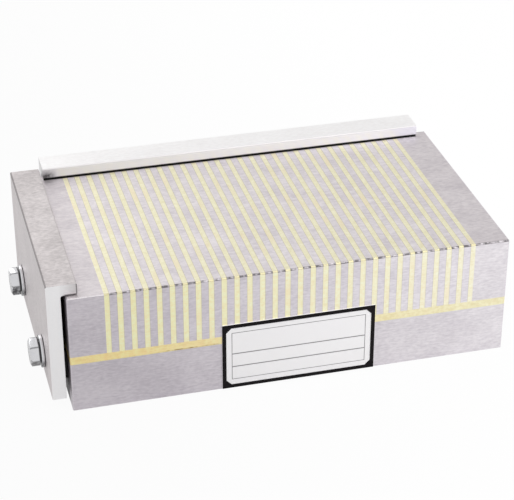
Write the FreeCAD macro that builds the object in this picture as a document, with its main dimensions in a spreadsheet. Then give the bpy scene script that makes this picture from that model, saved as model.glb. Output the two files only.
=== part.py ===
"""Permanent magnetic chuck, 4 x 7 inch class, with side and back stops, as separate pieces.

Millimetres. X runs along the block, Y towards its back, Z up. The origin is the centre of the
block's underside. The magnet pack is drawn in the released place, half a pole pitch to the left.
"""
import FreeCAD, Part

import math
import os
import re

import Sketcher

# Driving dimensions, millimetres and counts
SIZES = {
    # block and top plate
    "block_length": 175,
    "block_width": 100,
    "base_height": 20.8,
    "separator_thickness": 3.3,
    "top_height": 25.9,
    "lamination_thickness": 3.2,
    "strip_thickness": 1.8,
    "end_wall": 14,
    "side_wall": 12,
    "floor_thickness": 4,
    "cavity_radius": 2.5,
    "edge_chamfer": 0.4,
    # screws that hold the top plate from below
    "screw_diameter": 6,
    "screw_head_diameter": 10,
    "screw_head_height": 6,
    "screw_recess": 7,
    "screw_reach": 10,
    "screw_key_flats": 5,
    "screw_key_depth": 3,
    "screw_offset": 8.5,
    "hole_clearance": 0.25,
    "thread_clearance": 0.1,
    "tap_runout": 1,
    # tapped holes in the underside
    "mounting_tap": 5,
    "mounting_depth": 12,
    "mounting_spacing": 125,
    # name plate blank on the front
    "plate_length": 61.6,
    "plate_height": 28.9,
    "plate_thickness": 0.6,
    "plate_lift": 0.2,
    "plate_shift": 2.1,
    "plate_border": 1.6,
    "plate_relief": 0.15,
    "plate_corner_cut": 2,
    # side and back stops, cut from one angle section
    "stop_width": 11.9,
    "stop_leg": 5.5,
    "stop_lip": 4.5,
    "stop_inner_radius": 1,
    "stop_outer_radius": 0.5,
    "lip_gap": 0.3,
    "foot_height": 4.5,
    "side_stop_inset": 2.5,
    "back_stop_inset": 5,
    "stop_end_gap": 1.5,
    "stop_travel": 3.2,
    "slide_gap": 0.1,
    "side_spacer": 1.7,
    "back_spacer": 2.9,
    "spacer_height": 12,
    "spacer_overhang": 12,
    # hex bolts of the stops
    "bolt_diameter": 6,
    "bolt_flats": 10,
    "bolt_head": 4,
    "bolt_length": 16,
    "bolt_level": 14.5,
    "washer_diameter": 13,
    "washer_thickness": 1.4,
    "slot_clearance": 0.3,
    "side_bolt_margin": 22.5,
    "back_bolt_margin": 32,
    # operating shaft, bush and gland
    "key_flats": 8,
    "key_depth": 9,
    "journal_diameter": 13,
    "drum_diameter": 12,
    "drum_length": 11.8,
    "drum_setback": 1,
    "relief_depth": 0.4,
    "groove_depth": 2,
    "collar_diameter": 15,
    "collar_thickness": 2,
    "shaft_recess": 0.2,
    "bush_diameter": 16,
    "running_clearance": 0.03,
    "end_clearance": 0.1,
    "gland_diameter": 17,
    "gland_thickness": 2.9,
    "spanner_slot": 1.6,
    "spanner_depth": 1.2,
    # sliding magnet pack
    "pole_thickness": 2.4,
    "pole_cover": 2.5,
    "pack_gap": 0.1,
    "pack_side_gap": 0.3,
    "rail_width": 5,
    "pack_plate": 3.2,
    "runner_thickness": 1,
    "runner_width": 6,
    "runner_inset": 11,
    # follower that the drum drives
    "follower_diameter": 4,
    "follower_gap": 0.15,
    "follower_tip_gap": 0.25,
    "arm_width": 20,
    "arm_nose": 4.2,
    "arm_gap": 0.5,
    "pin_headroom": 0.5,
}

# Sizes that follow from the driving ones, as expressions in the same names
LAYOUT = {
    "pole_pitch": "lamination_thickness + strip_thickness",
    "strip_count": "floor((block_length - 2 * end_wall + lamination_thickness) / pole_pitch)",
    "lamination_count": "strip_count - 1",
    "stack_length": "strip_count * pole_pitch - lamination_thickness",
    "end_block_length": "(block_length - stack_length) / 2",
    "top_level": "base_height + separator_thickness",
    "work_level": "top_level + top_height",
    "lip_level": "work_level + lip_gap",
    "cavity_half_length": "block_length / 2 - end_wall",
    "cavity_half_width": "block_width / 2 - side_wall",
    "screw_column": "block_length / 2 - end_wall / 2",
    "side_bolt_spacing": "block_width - 2 * side_bolt_margin",
    "screw_row": "side_bolt_spacing / 2 + screw_offset",
    "mounting_row": "block_width / 2 - side_wall / 2",
    "side_stop_face": "block_length / 2 + side_spacer + slide_gap",
    "back_stop_face": "block_width / 2 + back_spacer + slide_gap",
    "side_lip_edge": "side_stop_face + stop_leg - stop_width",
    "side_stop_length": "block_width - 2 * side_stop_inset",
    "back_stop_start": "stop_end_gap - side_lip_edge",
    "back_stop_length": "block_length / 2 - back_stop_inset - back_stop_start",
    "back_stop_middle": "back_stop_start + back_stop_length / 2",
    "back_bolt_spacing": "back_stop_length - 2 * back_bolt_margin",
    "stop_clamp": "washer_thickness + stop_leg + 2 * slide_gap",
    "side_tap_depth": "bolt_length - stop_clamp - side_spacer + tap_runout",
    "back_tap_depth": "bolt_length - stop_clamp - back_spacer + tap_runout",
    "shaft_level": "base_height / 2",
    "shaft_face": "block_length / 2 - shaft_recess",
    "collar_start": "block_length / 2 - gland_thickness - end_clearance - collar_thickness",
    "bush_end": "collar_start - end_clearance",
    "drum_end": "cavity_half_length - drum_setback",
    "drum_start": "drum_end - drum_length",
    "groove_floor": "drum_diameter / 2 - groove_depth",
    "groove_width": "follower_diameter + 2 * follower_gap",
    "pack_travel": "pole_pitch / 2",
    "follower_rest": "drum_start + drum_length / 2 - pack_travel / 2",
    "first_strip": "strip_thickness / 2 - stack_length / 2",
    "pack_corner_gap": "cavity_radius - sqrt(cavity_radius ^ 2 - (cavity_radius - pack_side_gap) ^ 2)",
    "pack_reach": "pack_plate + pole_thickness / 2 + pack_corner_gap + end_clearance",
    "pack_skip": "ceil((pack_reach - cavity_half_length - first_strip) / pole_pitch)",
    "pack_start": "first_strip + pack_skip * pole_pitch - pole_thickness / 2",
    "pack_limit": "drum_start - arm_gap - pack_travel - pack_plate",
    "pole_count": "floor((pack_limit - pack_start - pole_thickness) / pole_pitch) + 1",
    "pack_length": "(pole_count - 1) * pole_pitch + pole_thickness",
    "pack_end": "pack_start + pack_length",
    "pack_floor": "floor_thickness + runner_thickness + pack_gap",
    "pack_height": "top_level - pack_gap - pack_floor",
    "pack_half_width": "cavity_half_width - pack_side_gap",
    "pole_half_width": "pack_half_width - rail_width",
    "magnet_thickness": "pole_pitch - pole_thickness",
    "runner_spacing": "2 * (cavity_half_width - runner_inset)",
    "relief_radius": "max(drum_diameter / 2 + arm_gap; shaft_level - floor_thickness + relief_depth)",
    "arm_start": "pack_end + pack_plate",
    "arm_length": "follower_rest + arm_nose - arm_start",
    "arm_floor": "shaft_level + drum_diameter / 2 + arm_gap",
    "arm_height": "top_level - pack_gap - arm_floor",
    "follower_floor": "shaft_level + groove_floor + follower_tip_gap",
}

doc = FreeCAD.newDocument("magnetic_chuck")

sizes = doc.addObject("Spreadsheet::Sheet", "sizes")
for line, (word, number) in enumerate(SIZES.items(), 1):
    sizes.set(f"A{line}", word)
    sizes.set(f"B{line}", str(number))
    sizes.setAlias(f"B{line}", word)
doc.recompute()


def sized(expression):
    """Point each size's plain name at the sheet or at the layout that holds it."""

    def held(match):
        word = match.group(0)
        if word in SIZES:
            return "sizes." + word
        return "layout." + word if word in LAYOUT else word

    return re.sub(r"[a-z]+(?:_[a-z]+)+", held, str(expression))


layout = doc.addObject("App::VarSet", "layout")
for word, expression in LAYOUT.items():
    layout.addProperty("App::PropertyFloat", word, "layout")
    layout.setExpression(word, sized(expression))
    doc.recompute()


def value(word):
    """A size as a plain number, for the first guess of a curve and for finding an edge."""
    return float(getattr(sizes if word in SIZES else layout, word))


# Helpers for pieces, drawings and features
PIECES = []


def helper(name, x="0", y="0", z="0"):
    """A body with its place in the assembly bound to the sizes."""
    body = doc.addObject("PartDesign::Body", name)
    body.Label = name
    body.AllowCompound = True
    for axis, expression in zip("xyz", (x, y, z)):
        body.setExpression("Placement.Base." + axis, sized(expression))
    return body


def piece(name, x="0", y="0", z="0"):
    """A body that is a piece of the chuck and gets a file of its own."""
    body = helper(name, x, y, z)
    PIECES.append(body)
    return body


def datum(body, role):
    """One of the body's own origin planes or axes."""
    return next(feature for feature in body.Origin.OriginFeatures if feature.Role == role)


def drawing_on(body, role, name, lift="0"):
    """A sketch on an origin plane of its body, raised along the plane's normal."""
    drawing = body.newObject("Sketcher::SketchObject", name)
    drawing.AttachmentSupport = (datum(body, role), "")
    drawing.MapMode = "FlatFace"
    drawing.setExpression("AttachmentOffset.Base.z", sized(lift))
    return drawing


def hold(drawing, kind, geometry, point, expression):
    """Tie a point's distance from the sketch's origin to an expression."""
    index = drawing.addConstraint(Sketcher.Constraint(kind, -1, 1, geometry, point, 1.0))
    drawing.setExpression(f"Constraints[{index}]", sized(expression))


def outline(drawing, corners):
    """A closed outline of straight lines through the corners, each held in both directions."""
    first = drawing.GeometryCount
    count = len(corners)
    rough = [
        FreeCAD.Vector(math.cos(2 * math.pi * i / count), math.sin(2 * math.pi * i / count), 0)
        for i in range(count)
    ]
    for i in range(count):
        drawing.addGeometry(Part.LineSegment(rough[i], rough[(i + 1) % count]))
    for i in range(count):
        drawing.addConstraint(
            Sketcher.Constraint("Coincident", first + i, 2, first + (i + 1) % count, 1)
        )
    for i, (across, up) in enumerate(corners):
        hold(drawing, "DistanceX", first + i, 1, across)
        hold(drawing, "DistanceY", first + i, 1, up)


def rectangle(drawing, left, low, right, high):
    outline(drawing, [(left, low), (right, low), (right, high), (left, high)])


def circles(drawing, centres, radius):
    """Circles of one radius round the given centres."""
    for across, up in centres:
        circle = Part.Circle(FreeCAD.Vector(0, 0, 0), FreeCAD.Vector(0, 0, 1), 1)
        geometry = drawing.addGeometry(circle)
        hold(drawing, "DistanceX", geometry, 3, across)
        hold(drawing, "DistanceY", geometry, 3, up)
        index = drawing.addConstraint(Sketcher.Constraint("Radius", geometry, 1.0))
        drawing.setExpression(f"Constraints[{index}]", sized(radius))


def feature(body, kind, name, **properties):
    """A feature of the body; text values are bound as expressions, the rest are set."""
    made = body.newObject("PartDesign::" + kind, name)
    for word, content in properties.items():
        if isinstance(content, str) and word not in ("SideType", "Type", "Mode", "TransformMode"):
            made.setExpression(word, sized(content))
        else:
            setattr(made, word, content)
    return made


def pad(body, drawing, length, side="One side", backwards=False):
    return feature(
        body, "Pad", drawing.Name + "_pad",
        Profile=drawing, Length=length, SideType=side, Reversed=backwards,
    )


def pocket(body, drawing, depth, backwards=False):
    """Cut the drawing into the body, and make sure that the cut met material."""
    doc.recompute()
    before = body.Shape.Volume
    cut = feature(
        body, "Pocket", drawing.Name + "_cut", Profile=drawing, Length=depth, Reversed=backwards
    )
    doc.recompute()
    if not body.Shape.Volume < before - 1e-6:
        raise RuntimeError(f"{cut.Name} cuts nothing from {body.Label}")
    return cut


def turned(body, drawing, axis, kind="Revolution"):
    """A solid, or with Groove a cut, turned once round an axis of the body."""
    return feature(
        body, kind, drawing.Name + "_turn",
        Profile=drawing, ReferenceAxis=(datum(body, axis), [""]), Angle=360,
    )


def row(body, axis, count, pitch, originals):
    """Repeat features, or with an empty list the whole shape, along an axis of the body."""
    pattern = feature(
        body, "LinearPattern", body.Name + "_row",
        Originals=originals, Direction=(datum(body, axis), [""]),
        Length=f"({count} - 1) * ({pitch})", Occurrences=str(count),
        TransformMode="Features" if originals else "Whole shape",
    )
    body.Tip = pattern
    return pattern


def mirrored(body, role, originals):
    """Mirror features, or with an empty list the whole shape, in an origin plane of the body."""
    pattern = feature(
        body, "Mirrored", body.Name + "_mirror",
        Originals=originals, MirrorPlane=(datum(body, role), [""]),
        TransformMode="Features" if originals else "Whole shape",
    )
    body.Tip = pattern
    return pattern


def edges_where(body, test):
    """Names of the body's edges that pass a test on the list of their end points."""
    doc.recompute()
    named = enumerate(body.Tip.Shape.Edges, 1)
    return [f"Edge{i}" for i, edge in named if test([end.Point for end in edge.Vertexes])]


def dressed(body, kind, size, test):
    """A fillet or chamfer on the edges that pass the test."""
    measure = "Radius" if kind == "Fillet" else "Size"
    made = feature(body, kind, f"{body.Name}_{kind.lower()}", Base=(body.Tip, edges_where(body, test)))
    made.setExpression(measure, sized(size))
    doc.recompute()
    return made


def near(a, b):
    return abs(a - b) < 1e-4


def drawn_circle(body, role, name, radius, lift="0"):
    """A sketch of one circle round the body's own axis."""
    drawing = drawing_on(body, role, name, lift)
    circles(drawing, [("0", "0")], radius)
    return drawing


def ring(body, name, outer, inner, start, length):
    """A flat ring round the body's X axis."""
    drawing = drawing_on(body, "YZ_Plane", name, start)
    circles(drawing, [("0", "0")], outer)
    circles(drawing, [("0", "0")], inner)
    pad(body, drawing, length)
    doc.recompute()


# Base block, separator and top plate
def cut_corner_outline(half_length, half_width, cut):
    """The corners of a rectangle with cut-off corners, anticlockwise."""
    points = []
    for across, up, first_across in ((1, -1, True), (1, 1, False), (-1, 1, True), (-1, -1, False)):
        trimmed_across = (f"{across} * ({half_length} - {cut})", f"{up} * ({half_width})")
        trimmed_up = (f"{across} * ({half_length})", f"{up} * ({half_width} - {cut})")
        points += [trimmed_across, trimmed_up] if first_across else [trimmed_up, trimmed_across]
    return points


def cavity(body, lift, depth):
    """The rounded pocket that the magnet pack slides in, cut from above."""
    drawing = drawing_on(body, "XY_Plane", body.Name + "_cavity", lift)
    rectangle(
        drawing, "-cavity_half_length", "-cavity_half_width", "cavity_half_length", "cavity_half_width"
    )
    pocket(body, drawing, depth)
    length = value("cavity_half_length")
    width = value("cavity_half_width")

    def upright_corner(ends):
        at_corner = all(near(abs(end.x), length) and near(abs(end.y), width) for end in ends)
        return at_corner and near(ends[0].x, ends[-1].x) and near(ends[0].y, ends[-1].y)

    dressed(body, "Fillet", "cavity_radius", upright_corner)


def screw_holes(body, name, radius, depth, lift="0"):
    """The rows of top-plate screw holes at both ends, cut upwards from a level."""
    drawing = drawing_on(body, "XY_Plane", name, lift)
    centres = [(f"{across} * screw_column", f"{up} * screw_row") for across in (-1, 1) for up in (-1, 1)]
    circles(drawing, centres, radius)
    pocket(body, drawing, depth, backwards=True)


base_block = piece("base_block")
drawing = drawing_on(base_block, "XY_Plane", "base_outline")
outline(drawing, cut_corner_outline("block_length / 2", "block_width / 2", "edge_chamfer"))
pad(base_block, drawing, "base_height")
cavity(base_block, "base_height", "base_height - floor_thickness")
screw_holes(base_block, "screw_recesses", "screw_head_diameter / 2 + hole_clearance", "screw_recess")
screw_holes(base_block, "screw_passages", "screw_diameter / 2 + hole_clearance", "base_height")
drawing = drawing_on(base_block, "XY_Plane", "mounting_holes")
circles(
    drawing,
    [(f"{across} * mounting_spacing / 2", f"{up} * mounting_row") for across in (-1, 1) for up in (-1, 1)],
    "mounting_tap / 2",
)
pocket(base_block, drawing, "mounting_depth", backwards=True)
drawing = drawing_on(base_block, "YZ_Plane", "side_taps", "-block_length / 2")
circles(
    drawing,
    [(f"{side} * side_bolt_spacing / 2", "bolt_level") for side in (-1, 1)],
    "bolt_diameter / 2 + thread_clearance",
)
pocket(base_block, drawing, "side_tap_depth", backwards=True)
drawing = drawing_on(base_block, "XZ_Plane", "back_taps", "-block_width / 2")
circles(
    drawing,
    [(f"back_stop_middle + {side} * back_bolt_spacing / 2", "bolt_level") for side in (-1, 1)],
    "bolt_diameter / 2 + thread_clearance",
)
pocket(base_block, drawing, "back_tap_depth", backwards=True)
drawing = drawing_on(base_block, "YZ_Plane", "bush_seat", "block_length / 2")
circles(drawing, [("0", "shaft_level")], "bush_diameter / 2")
pocket(base_block, drawing, "end_wall")
drawing = drawing_on(base_block, "YZ_Plane", "gland_thread", "block_length / 2")
circles(drawing, [("0", "shaft_level")], "gland_diameter / 2 + thread_clearance")
pocket(base_block, drawing, "block_length / 2 - bush_end")
drawing = drawing_on(base_block, "YZ_Plane", "drum_relief", "cavity_half_length")
circles(drawing, [("0", "shaft_level")], "relief_radius")
pocket(base_block, drawing, "cavity_half_length - drum_start + arm_gap")

separator_frame = piece("separator_frame", z="base_height")
drawing = drawing_on(separator_frame, "XY_Plane", "separator_outline")
outline(drawing, cut_corner_outline("block_length / 2", "block_width / 2", "edge_chamfer"))
pad(separator_frame, drawing, "separator_thickness")
cavity(separator_frame, "separator_thickness", "separator_thickness")
screw_holes(
    separator_frame, "separator_holes", "screw_diameter / 2 + hole_clearance", "separator_thickness"
)


def top_section(body, name):
    """The top plate's end view: a rectangle with its two upper corners cut off."""
    drawing = drawing_on(body, "YZ_Plane", name)
    outline(drawing, [
        ("-block_width / 2", "0"),
        ("block_width / 2", "0"),
        ("block_width / 2", "top_height - edge_chamfer"),
        ("block_width / 2 - edge_chamfer", "top_height"),
        ("edge_chamfer - block_width / 2", "top_height"),
        ("-block_width / 2", "top_height - edge_chamfer"),
    ])
    return drawing


def end_block(name, side):
    """A solid end of the top plate, tapped from below; side is -1 for the left one, 1 for the right."""
    body = piece(name, z="top_level")
    pad(body, top_section(body, name + "_section"), "block_length / 2", backwards=side < 0)
    drawing = drawing_on(body, "XZ_Plane", name + "_trim")
    reach = f"{side} * (block_length / 2 - end_block_length)"
    inner, outer = ("0", reach) if side > 0 else (reach, "0")
    rectangle(drawing, inner, "0", outer, "top_height")
    doc.recompute()
    feature(
        body, "Pocket", name + "_trim_cut", Profile=drawing, Length="2 * block_width", SideType="Symmetric"
    )
    doc.recompute()
    outer_face = side * value("block_length") / 2

    def outer_edge(ends):
        return all(near(end.x, outer_face) for end in ends) and not all(near(end.z, 0) for end in ends)

    dressed(body, "Chamfer", "edge_chamfer", outer_edge)
    drawing = drawing_on(body, "XY_Plane", name + "_taps")
    circles(
        drawing, [(f"{side} * screw_column", f"{up} * screw_row") for up in (-1, 1)],
        "screw_diameter / 2 + thread_clearance",
    )
    pocket(body, drawing, "screw_reach + tap_runout", backwards=True)
    return body


end_block_left = end_block("end_block_left", -1)
end_block_right = end_block("end_block_right", 1)

brass_strips = piece("brass_strips", x="-stack_length / 2", z="top_level")
pad(brass_strips, top_section(brass_strips, "strip_section"), "strip_thickness")
row(brass_strips, "X_Axis", "strip_count", "pole_pitch", [])

steel_laminations = piece("steel_laminations", x="strip_thickness - stack_length / 2", z="top_level")
pad(steel_laminations, top_section(steel_laminations, "lamination_section"), "lamination_thickness")
row(steel_laminations, "X_Axis", "lamination_count", "pole_pitch", [])


# Screws, bolts, washers and spacers
def hexagon(drawing, flats):
    """A hexagon round the sketch's origin, with two corners on its across axis."""
    corners = []
    for step in range(6):
        angle = 60 * step
        corners.append(
            (f"{flats} / sqrt(3) * cos({angle} deg)", f"{flats} / sqrt(3) * sin({angle} deg)")
        )
    outline(drawing, corners)


top_plate_screws = piece("top_plate_screws", z="screw_recess")
pad(
    top_plate_screws,
    drawn_circle(top_plate_screws, "XY_Plane", "screw_head", "screw_head_diameter / 2"),
    "screw_head_height", backwards=True,
)
pad(
    top_plate_screws,
    drawn_circle(top_plate_screws, "XY_Plane", "screw_shank", "screw_diameter / 2"),
    "top_level - screw_recess + screw_reach",
)
drawing = drawing_on(top_plate_screws, "XY_Plane", "screw_key", "-screw_head_height")
hexagon(drawing, "screw_key_flats")
pocket(top_plate_screws, drawing, "screw_key_depth", backwards=True)
for member in top_plate_screws.Group:
    if member.TypeId == "Sketcher::SketchObject":
        member.setExpression("AttachmentOffset.Base.x", sized("screw_column"))
        member.setExpression("AttachmentOffset.Base.y", sized("screw_row"))
mirrored(top_plate_screws, "XZ_Plane", [])
mirrored(top_plate_screws, "YZ_Plane", [])


def facing(body, turn):
    """Turn a body about Z, so that its X axis points along the bolts of its stop."""
    body.Placement.Rotation = FreeCAD.Rotation(FreeCAD.Vector(0, 0, 1), turn)


def bolt_pair(name, spacing, x, y, turn):
    """Two hex bolts along the body's X axis, their heads at negative X."""
    body = helper(name, x=x, y=y, z="bolt_level")
    facing(body, turn)
    drawing = drawing_on(body, "YZ_Plane", name + "_head")
    hexagon(drawing, "bolt_flats")
    pad(body, drawing, "bolt_head", backwards=True)
    pad(body, drawn_circle(body, "YZ_Plane", name + "_shank", "bolt_diameter / 2"), "bolt_length")
    doc.recompute()
    row(body, "Y_Axis", "2", spacing, [])
    return body


def washer_pair(name, spacing, x, y, turn):
    """Two washers facing along the body's X axis."""
    body = helper(name, x=x, y=y, z="bolt_level")
    facing(body, turn)
    ring(
        body, name + "_ring", "washer_diameter / 2", "bolt_diameter / 2 + slot_clearance",
        "0", "washer_thickness",
    )
    row(body, "Y_Axis", "2", spacing, [])
    return body


def together(name, bodies):
    """Identical fasteners of both stops as one piece of separate solids."""
    group = doc.addObject("Part::Compound", name)
    group.Label = name
    group.Links = bodies
    PIECES.append(group)
    return group


side_seat = ("-(side_stop_face + stop_clamp - slide_gap)", "-side_bolt_spacing / 2", 0)
back_seat = ("back_stop_middle - back_bolt_spacing / 2", "back_stop_face + stop_clamp - slide_gap", -90)
together("stop_bolts", [
    bolt_pair("side_bolts", "side_bolt_spacing", *side_seat),
    bolt_pair("back_bolts", "back_bolt_spacing", *back_seat),
])
together("stop_washers", [
    washer_pair("side_washers", "side_bolt_spacing", *side_seat),
    washer_pair("back_washers", "back_bolt_spacing", *back_seat),
])


def forked_spacer(name, x, y, turn, spacing, thickness):
    """A flat bar behind a stop's leg that holds it off the block, forked over the bolts from above."""
    body = piece(name, x=x, y=y, z="bolt_level")
    facing(body, turn)
    drawing = drawing_on(body, "YZ_Plane", name + "_face")
    fork = "bolt_diameter / 2 + slot_clearance"
    end = f"({spacing} / 2 + spacer_overhang)"
    low = "-spacer_height / 2"
    outline(drawing, [
        (f"-{end}", low),
        (f"-{spacing} / 2 - ({fork})", low),
        (f"-{spacing} / 2 - ({fork})", fork),
        (f"{fork} - {spacing} / 2", fork),
        (f"{fork} - {spacing} / 2", low),
        (f"{spacing} / 2 - ({fork})", low),
        (f"{spacing} / 2 - ({fork})", fork),
        (f"{spacing} / 2 + {fork}", fork),
        (f"{spacing} / 2 + {fork}", low),
        (end, low),
        (end, "spacer_height / 2"),
        (f"-{end}", "spacer_height / 2"),
    ])
    pad(body, drawing, thickness)
    doc.recompute()


forked_spacer(
    "side_spacer_bar", "-block_length / 2 - side_spacer", "0", 0, "side_bolt_spacing", "side_spacer"
)
forked_spacer(
    "back_spacer_bar", "back_stop_middle", "block_width / 2 + back_spacer", -90,
    "back_bolt_spacing", "back_spacer"
)


# Name plate blank
name_plate = piece("name_plate", x="plate_shift", y="-block_width / 2", z="plate_lift")
drawing = drawing_on(name_plate, "XZ_Plane", "plate_outline")
rectangle(drawing, "-plate_length / 2", "0", "plate_length / 2", "plate_height")
pad(name_plate, drawing, "plate_thickness")
drawing = drawing_on(name_plate, "XZ_Plane", "plate_field", "plate_thickness")
field = cut_corner_outline(
    "plate_length / 2 - plate_border", "plate_height / 2 - plate_border", "plate_corner_cut"
)
outline(drawing, [(across, f"plate_height / 2 + {up}") for across, up in field])
pocket(name_plate, drawing, "plate_relief")


# Side and back stops
def stop_section(drawing, side):
    """The angle section: a leg outside the block and a lip that reaches over its top."""
    outline(drawing, [
        (f"{-side} * stop_leg", "foot_height"),
        ("0", "foot_height"),
        ("0", "lip_level"),
        (f"{side} * (stop_width - stop_leg)", "lip_level"),
        (f"{side} * (stop_width - stop_leg)", "lip_level + stop_lip"),
        (f"{-side} * stop_leg", "lip_level + stop_lip"),
    ])


def stop_slots(body, role, spacing):
    """Upright slots that let the stop slide up on its two bolts: two round ends and the run between."""
    radius = "(bolt_diameter / 2 + slot_clearance)"
    for word, level in (("low", "bolt_level - stop_travel"), ("high", "bolt_level")):
        drawing = drawing_on(body, role, f"{body.Name}_slots_{word}")
        circles(drawing, [(f"{side} * {spacing}", level) for side in (-1, 1)], radius)
        pocket(body, drawing, "2 * stop_leg")
    drawing = drawing_on(body, role, f"{body.Name}_slots_run")
    for side in (-1, 1):
        rectangle(
            drawing, f"{side} * {spacing} - {radius}", "bolt_level - stop_travel",
            f"{side} * {spacing} + {radius}", "bolt_level",
        )
    pocket(body, drawing, "2 * stop_leg")


def stop(name, role, slot_role, side, length, spacing, x, y):
    """One stop: the section carried along its length, slotted, with its long edges rounded."""
    body = piece(name, x=x, y=y)
    drawing = drawing_on(body, role, name + "_section")
    stop_section(drawing, side)
    pad(body, drawing, length, side="Symmetric")
    stop_slots(body, slot_role, spacing)
    lip = value("lip_level")
    top = lip + value("stop_lip")
    leg = value("stop_leg")
    tip = value("stop_width") - leg

    def along(corners):
        """A test for the long edges at these corners of the section."""

        def test(ends):
            across = [end.x if role == "XZ_Plane" else end.y for end in ends]
            return any(
                all(near(side * a, corner[0]) and near(end.z, corner[1]) for a, end in zip(across, ends))
                for corner in corners
            )

        return test

    dressed(body, "Fillet", "stop_inner_radius", along([(0, lip)]))
    dressed(body, "Fillet", "stop_outer_radius", along([(-leg, top), (tip, top), (tip, lip)]))


stop(
    "side_stop", "XZ_Plane", "YZ_Plane", 1, "side_stop_length", "side_bolt_spacing / 2",
    "-side_stop_face", "0",
)
stop(
    "back_stop", "YZ_Plane", "XZ_Plane", -1, "back_stop_length", "back_bolt_spacing / 2",
    "back_stop_middle", "back_stop_face",
)


# Operating shaft with its cam drum, bush and gland ring
operating_shaft = piece("operating_shaft", z="shaft_level")
drawing = drawing_on(operating_shaft, "XZ_Plane", "shaft_profile")
outline(drawing, [
    ("drum_start", "0"),
    ("drum_start", "drum_diameter / 2"),
    ("drum_end", "drum_diameter / 2"),
    ("drum_end", "journal_diameter / 2"),
    ("collar_start", "journal_diameter / 2"),
    ("collar_start", "collar_diameter / 2"),
    ("collar_start + collar_thickness", "collar_diameter / 2"),
    ("collar_start + collar_thickness", "journal_diameter / 2"),
    ("shaft_face", "journal_diameter / 2"),
    ("shaft_face", "0"),
])
turned(operating_shaft, drawing, "X_Axis")

# The cam groove: half a turn of a helix whose height is the pack's travel, with round ends
drawing = drawing_on(operating_shaft, "XZ_Plane", "groove_section")
rectangle(
    drawing, "follower_rest - groove_width / 2", "groove_floor",
    "follower_rest + groove_width / 2", "drum_diameter / 2 + groove_depth",
)
doc.recompute()
uncut = operating_shaft.Shape.Volume
feature(
    operating_shaft, "SubtractiveHelix", "cam_groove",
    Profile=drawing, ReferenceAxis=(datum(operating_shaft, "X_Axis"), [""]),
    Mode="pitch-height-angle", Pitch="2 * pack_travel", Height="pack_travel", LeftHanded=True,
)
doc.recompute()
if not operating_shaft.Shape.Volume < uncut:
    raise RuntimeError("the cam groove cuts nothing from the drum")
drawing = drawing_on(operating_shaft, "XY_Plane", "groove_start", "groove_floor")
circles(drawing, [("follower_rest", "0")], "groove_width / 2")
pocket(operating_shaft, drawing, "2 * groove_depth", backwards=True)
drawing = drawing_on(operating_shaft, "XY_Plane", "groove_finish", "-groove_floor")
circles(drawing, [("follower_rest + pack_travel", "0")], "groove_width / 2")
pocket(operating_shaft, drawing, "2 * groove_depth")
drawing = drawing_on(operating_shaft, "YZ_Plane", "key_socket", "shaft_face")
hexagon(drawing, "key_flats")
pocket(operating_shaft, drawing, "key_depth")

shaft_bush = piece("shaft_bush", z="shaft_level")
ring(
    shaft_bush, "bush_ring", "bush_diameter / 2", "journal_diameter / 2 + running_clearance",
    "cavity_half_length", "bush_end - cavity_half_length",
)

gland_ring = piece("gland_ring", z="shaft_level")
ring(
    gland_ring, "gland", "gland_diameter / 2", "journal_diameter / 2 + thread_clearance",
    "block_length / 2 - gland_thickness", "gland_thickness",
)
drawing = drawing_on(gland_ring, "YZ_Plane", "spanner_slots", "block_length / 2")
for side in (-1, 1):
    near_edge, far_edge = sorted((f"{side} * journal_diameter / 2", f"{side} * gland_diameter"))
    rectangle(drawing, near_edge, "-spanner_slot / 2", far_edge, "spanner_slot / 2")
pocket(gland_ring, drawing, "spanner_depth")


# Runner strips and the magnet pack that slides on them
def bar(name, x, y, z, length, width, height):
    """A plain bar with one corner at the given place."""
    body = piece(name, x=x, y=y, z=z)
    drawing = drawing_on(body, "YZ_Plane", name + "_end")
    rectangle(drawing, "0", "0", width, height)
    pad(body, drawing, length)
    doc.recompute()
    return body


runner_strips = bar(
    "runner_strips", "arm_gap - cavity_half_length", "-(runner_spacing + runner_width) / 2",
    "floor_thickness", "drum_start + cavity_half_length - 2 * arm_gap", "runner_width",
    "runner_thickness",
)
row(runner_strips, "Y_Axis", "2", "runner_spacing", [])

pole_plates = bar(
    "pole_plates", "pack_start", "-pole_half_width", "pack_floor",
    "pole_thickness", "2 * pole_half_width", "pack_height",
)
row(pole_plates, "X_Axis", "pole_count", "pole_pitch", [])

pack_magnets = bar(
    "pack_magnets", "pack_start + pole_thickness", "-pole_half_width", "pack_floor + pole_cover",
    "magnet_thickness", "2 * pole_half_width", "pack_height - 2 * pole_cover",
)
row(pack_magnets, "X_Axis", "pole_count - 1", "pole_pitch", [])

for word, y in (("front", "-pack_half_width"), ("back", "pole_half_width")):
    bar(f"pack_rail_{word}", "pack_start", y, "pack_floor", "pack_length", "rail_width", "pack_height")
for name, x in (("pack_plate_left", "pack_start - pack_plate"), ("pack_plate_right", "pack_end")):
    bar(name, x, "-pack_half_width", "pack_floor", "pack_plate", "2 * pack_half_width", "pack_height")

# The arm is brazed to the pack's right plate and carries the pin that runs in the cam groove
follower_arm = bar(
    "follower_arm", "arm_start", "-arm_width / 2", "arm_floor", "arm_length", "arm_width", "arm_height"
)
drawing = drawing_on(follower_arm, "XY_Plane", "pin_seat")
circles(drawing, [("follower_rest - arm_start", "arm_width / 2")], "follower_diameter / 2")
pocket(follower_arm, drawing, "arm_height - pin_headroom", backwards=True)

follower_pin = piece("follower_pin", x="follower_rest", z="follower_floor")
pad(
    follower_pin,
    drawn_circle(follower_pin, "XY_Plane", "pin_circle", "follower_diameter / 2"),
    "arm_floor + arm_height - pin_headroom - follower_floor",
)


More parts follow.
